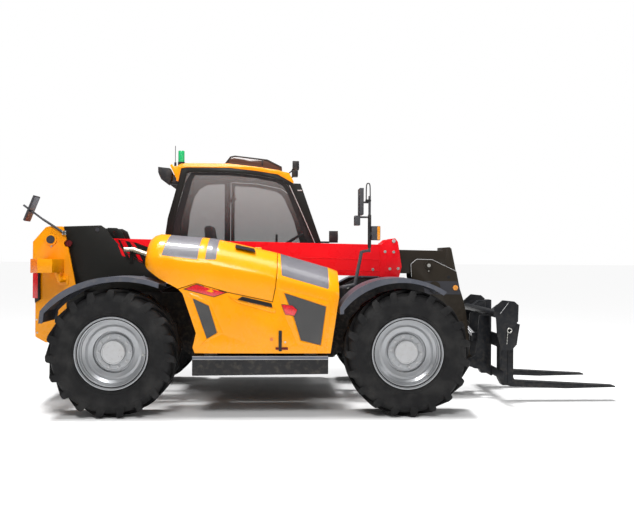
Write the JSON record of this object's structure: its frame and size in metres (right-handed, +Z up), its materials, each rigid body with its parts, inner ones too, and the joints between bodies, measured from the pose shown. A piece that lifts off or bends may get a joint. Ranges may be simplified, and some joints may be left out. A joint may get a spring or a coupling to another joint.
{
  "type": "telescopic handler",
  "caption": "Four-wheel telescopic handler with a side cab, a side engine housing, a lifting and extending boom, and pallet forks on a tilting carriage.",
  "frame": {"origin": "on the ground, under the middle of the overall length from the rear mirror to the fork tips", "axes": "+X forward towards the forks, +Y to the left, the cab side, +Z up"},
  "size_m": [6.034, 2.25, 2.706],
  "materials": {
    "paint_yellow": "gloss paint",
    "paint_red": "gloss paint",
    "paint_black": "satin paint",
    "underbody_black": "satin paint",
    "rim_silver": "silver paint",
    "tyre_rubber": "matt rubber",
    "fender_plastic": "moulded, satin",
    "grille_mesh": "perforated sheet",
    "smoked_glass": "tinted glass",
    "seat_fabric": "woven fabric",
    "cab_plastic": "grained plastic",
    "cast_iron_grey": "painted casting",
    "rod_chrome": "polished",
    "pad_plastic": "machined",
    "lamp_plastic": "moulded",
    "pipe_steel": "heat tinted"
  },
  "bodies": {
    "chassis": {"main_frame": "underbody_black", "boom_tower": "paint_black", "tail_plates": "paint_yellow", "counterweight": "underbody_black", "boom_pivot_pin": "rod_chrome", "rear_axle": "underbody_black", "front_axle": "underbody_black", "rear_fenders": "fender_plastic", "front_fenders": "fender_plastic", "engine_block": "cast_iron_grey", "engine_housing": "paint_yellow", "housing_grilles": "grille_mesh", "sill_box_left": "paint_black", "sill_box_right": "paint_black", "cab_frame": "paint_black", "cab_side_glass": "smoked_glass", "windscreen": "smoked_glass", "cab_roof": "paint_yellow", "roof_hatch": "cab_plastic", "seat": "seat_fabric", "seat_pedestal": "cab_plastic", "dashboard": "cab_plastic", "steering_wheel": "cab_plastic", "front_mirror": "cab_plastic", "rear_mirror": "cab_plastic", "work_lamps": "lamp_plastic", "beacon": "lamp_plastic", "tail_lamps": "lamp_plastic", "lamp_boxes": "paint_yellow", "arch_liners": "paint_black", "exhaust_pipe": "pipe_steel"},
    "hood": {"engine_hood": "paint_yellow", "hood_grilles": "grille_mesh"},
    "door": {"cab_door": "paint_black", "door_glass": "smoked_glass"},
    "boom": {"boom_outer": "paint_red", "slide_pads_front": "pad_plastic"},
    "boom_extension": {"boom_inner": "paint_black", "slide_pads_rear": "pad_plastic", "boom_head": "paint_black"},
    "fork_carriage": {"carriage": "paint_black", "forks": "paint_black"},
    "lift_cylinder": {"lift_barrel": "paint_black"},
    "lift_piston": {"lift_rod": "rod_chrome"},
    "tilt_cylinder": {"tilt_barrel": "paint_black"},
    "tilt_piston": {"tilt_rod": "rod_chrome"},
    "hub_front_left": {"knuckle_front_left": "underbody_black"},
    "wheel_front_left": {"rim_front_left": "rim_silver", "tyre_front_left": "tyre_rubber"},
    "hub_front_right": {"knuckle_front_right": "underbody_black"},
    "wheel_front_right": {"rim_front_right": "rim_silver", "tyre_front_right": "tyre_rubber"},
    "hub_rear_left": {"knuckle_rear_left": "underbody_black"},
    "wheel_rear_left": {"rim_rear_left": "rim_silver", "tyre_rear_left": "tyre_rubber"},
    "hub_rear_right": {"knuckle_rear_right": "underbody_black"},
    "wheel_rear_right": {"rim_rear_right": "rim_silver", "tyre_rear_right": "tyre_rubber"}
  },
  "joints": [
    {"name": "boom_lift", "type": "hinge", "parent": "chassis", "child": "boom", "pos_m": [-2.742, 0, 1.632], "axis": [0, -1, 0], "range_deg": [0, 60]},
    {"name": "boom_extend", "type": "slide", "parent": "boom", "child": "boom_extension", "axis": [0.9999, 0, -0.0157], "range_m": [0, 2.6]},
    {"name": "carriage_tilt", "type": "hinge", "parent": "boom_extension", "child": "fork_carriage", "pos_m": [1.587, 0, 0.37], "axis": [0, 1, 0], "range_deg": [-15, 75]},
    {"name": "lift_cylinder_turn", "type": "hinge", "parent": "chassis", "child": "lift_cylinder", "pos_m": [-2.393, 0, 0.8], "axis": [0, -1, 0], "range_deg": [0, 49.1]},
    {"name": "lift_cylinder_reach", "type": "slide", "parent": "lift_cylinder", "child": "lift_piston", "axis": [0.9399, 0, 0.3414], "range_m": [0, 0.848]},
    {"name": "tilt_cylinder_turn", "type": "hinge", "parent": "boom_extension", "child": "tilt_cylinder", "pos_m": [1.187, 0, 1.16], "axis": [0, 1, 0], "range_deg": [-1, 1]},
    {"name": "tilt_cylinder_reach", "type": "slide", "parent": "tilt_cylinder", "child": "tilt_piston", "axis": [0.6644, 0, -0.7474], "range_m": [-0.0664, 0.3198]},
    {"name": "cab_door", "type": "hinge", "parent": "chassis", "child": "door", "pos_m": [-1.0695, 1.11, 1.5], "axis": [0, 0, 1], "range_deg": [0, 80]},
    {"name": "engine_hood", "type": "hinge", "parent": "chassis", "child": "hood", "pos_m": [-1.643, -0.36, 1.68999], "axis": [-0.991, 0, 0.1337], "range_deg": [0, 60]},
    {"name": "steer_front_left", "type": "hinge", "parent": "chassis", "child": "hub_front_left", "pos_m": [0.737, 0.797, 0.585], "axis": [0, 0, 1], "range_deg": [-28, 28]},
    {"name": "spin_front_left", "type": "hinge", "parent": "hub_front_left", "child": "wheel_front_left", "pos_m": [0.737, 0.917, 0.585], "axis": [0, 1, 0], "continuous": true},
    {"name": "steer_front_right", "type": "hinge", "parent": "chassis", "child": "hub_front_right", "pos_m": [0.737, -0.797, 0.585], "axis": [0, 0, 1], "range_deg": [-28, 28]},
    {"name": "spin_front_right", "type": "hinge", "parent": "hub_front_right", "child": "wheel_front_right", "pos_m": [0.737, -0.917, 0.585], "axis": [0, 1, 0], "continuous": true},
    {"name": "steer_rear_left", "type": "hinge", "parent": "chassis", "child": "hub_rear_left", "pos_m": [-1.973, 0.797, 0.585], "axis": [0, 0, 1], "range_deg": [-28, 28]},
    {"name": "spin_rear_left", "type": "hinge", "parent": "hub_rear_left", "child": "wheel_rear_left", "pos_m": [-1.973, 0.917, 0.585], "axis": [0, 1, 0], "continuous": true},
    {"name": "steer_rear_right", "type": "hinge", "parent": "chassis", "child": "hub_rear_right", "pos_m": [-1.973, -0.797, 0.585], "axis": [0, 0, 1], "range_deg": [-28, 28]},
    {"name": "spin_rear_right", "type": "hinge", "parent": "hub_rear_right", "child": "wheel_rear_right", "pos_m": [-1.973, -0.917, 0.585], "axis": [0, 1, 0], "continuous": true}
  ],
  "couplings": [
    {"joint": "lift_cylinder_turn", "follows": "boom_lift", "ratio": 0.81},
    {"joint": "lift_cylinder_reach", "follows": "boom_lift", "m_per_rad": 0.805},
    {"joint": "tilt_cylinder_turn", "follows": "carriage_tilt", "ratio": 0.004},
    {"joint": "tilt_cylinder_reach", "follows": "carriage_tilt", "m_per_rad": 0.242},
    {"joint": "steer_front_right", "follows": "steer_front_left", "ratio": 1},
    {"joint": "steer_rear_right", "follows": "steer_rear_left", "ratio": 1}
  ]
}
